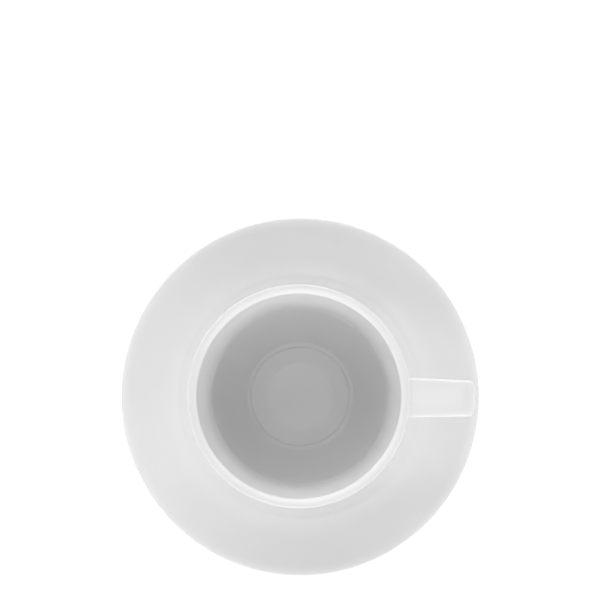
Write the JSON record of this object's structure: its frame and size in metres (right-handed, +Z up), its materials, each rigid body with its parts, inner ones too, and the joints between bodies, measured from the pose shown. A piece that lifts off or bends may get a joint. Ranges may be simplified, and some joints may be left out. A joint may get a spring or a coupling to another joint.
{
  "type": "coffee cup with saucer",
  "caption": "White glazed porcelain coffee cup with a steep wall, a conical base and an angular strap handle, standing in the well of its round saucer.",
  "frame": {"origin": "on the table under the middle of the saucer, on the axis that the saucer and the cup share", "axes": "+Z up along the axis that the saucer and the cup share, +X towards the cup's handle"},
  "size_m": [0.15, 0.15, 0.0655],
  "materials": {
    "glazed_porcelain": "clear gloss glaze over white hard-paste porcelain, unglazed on the foot rings"
  },
  "bodies": {
    "saucer": {"saucer": "glazed_porcelain"},
    "cup": {"cup_body": "glazed_porcelain", "cup_handle": "glazed_porcelain"}
  },
  "joints": [
    {"name": "cup_lift", "type": "slide", "parent": "saucer", "child": "cup", "axis": [0, 0, 1], "range_m": [0, 0.1]}
  ]
}
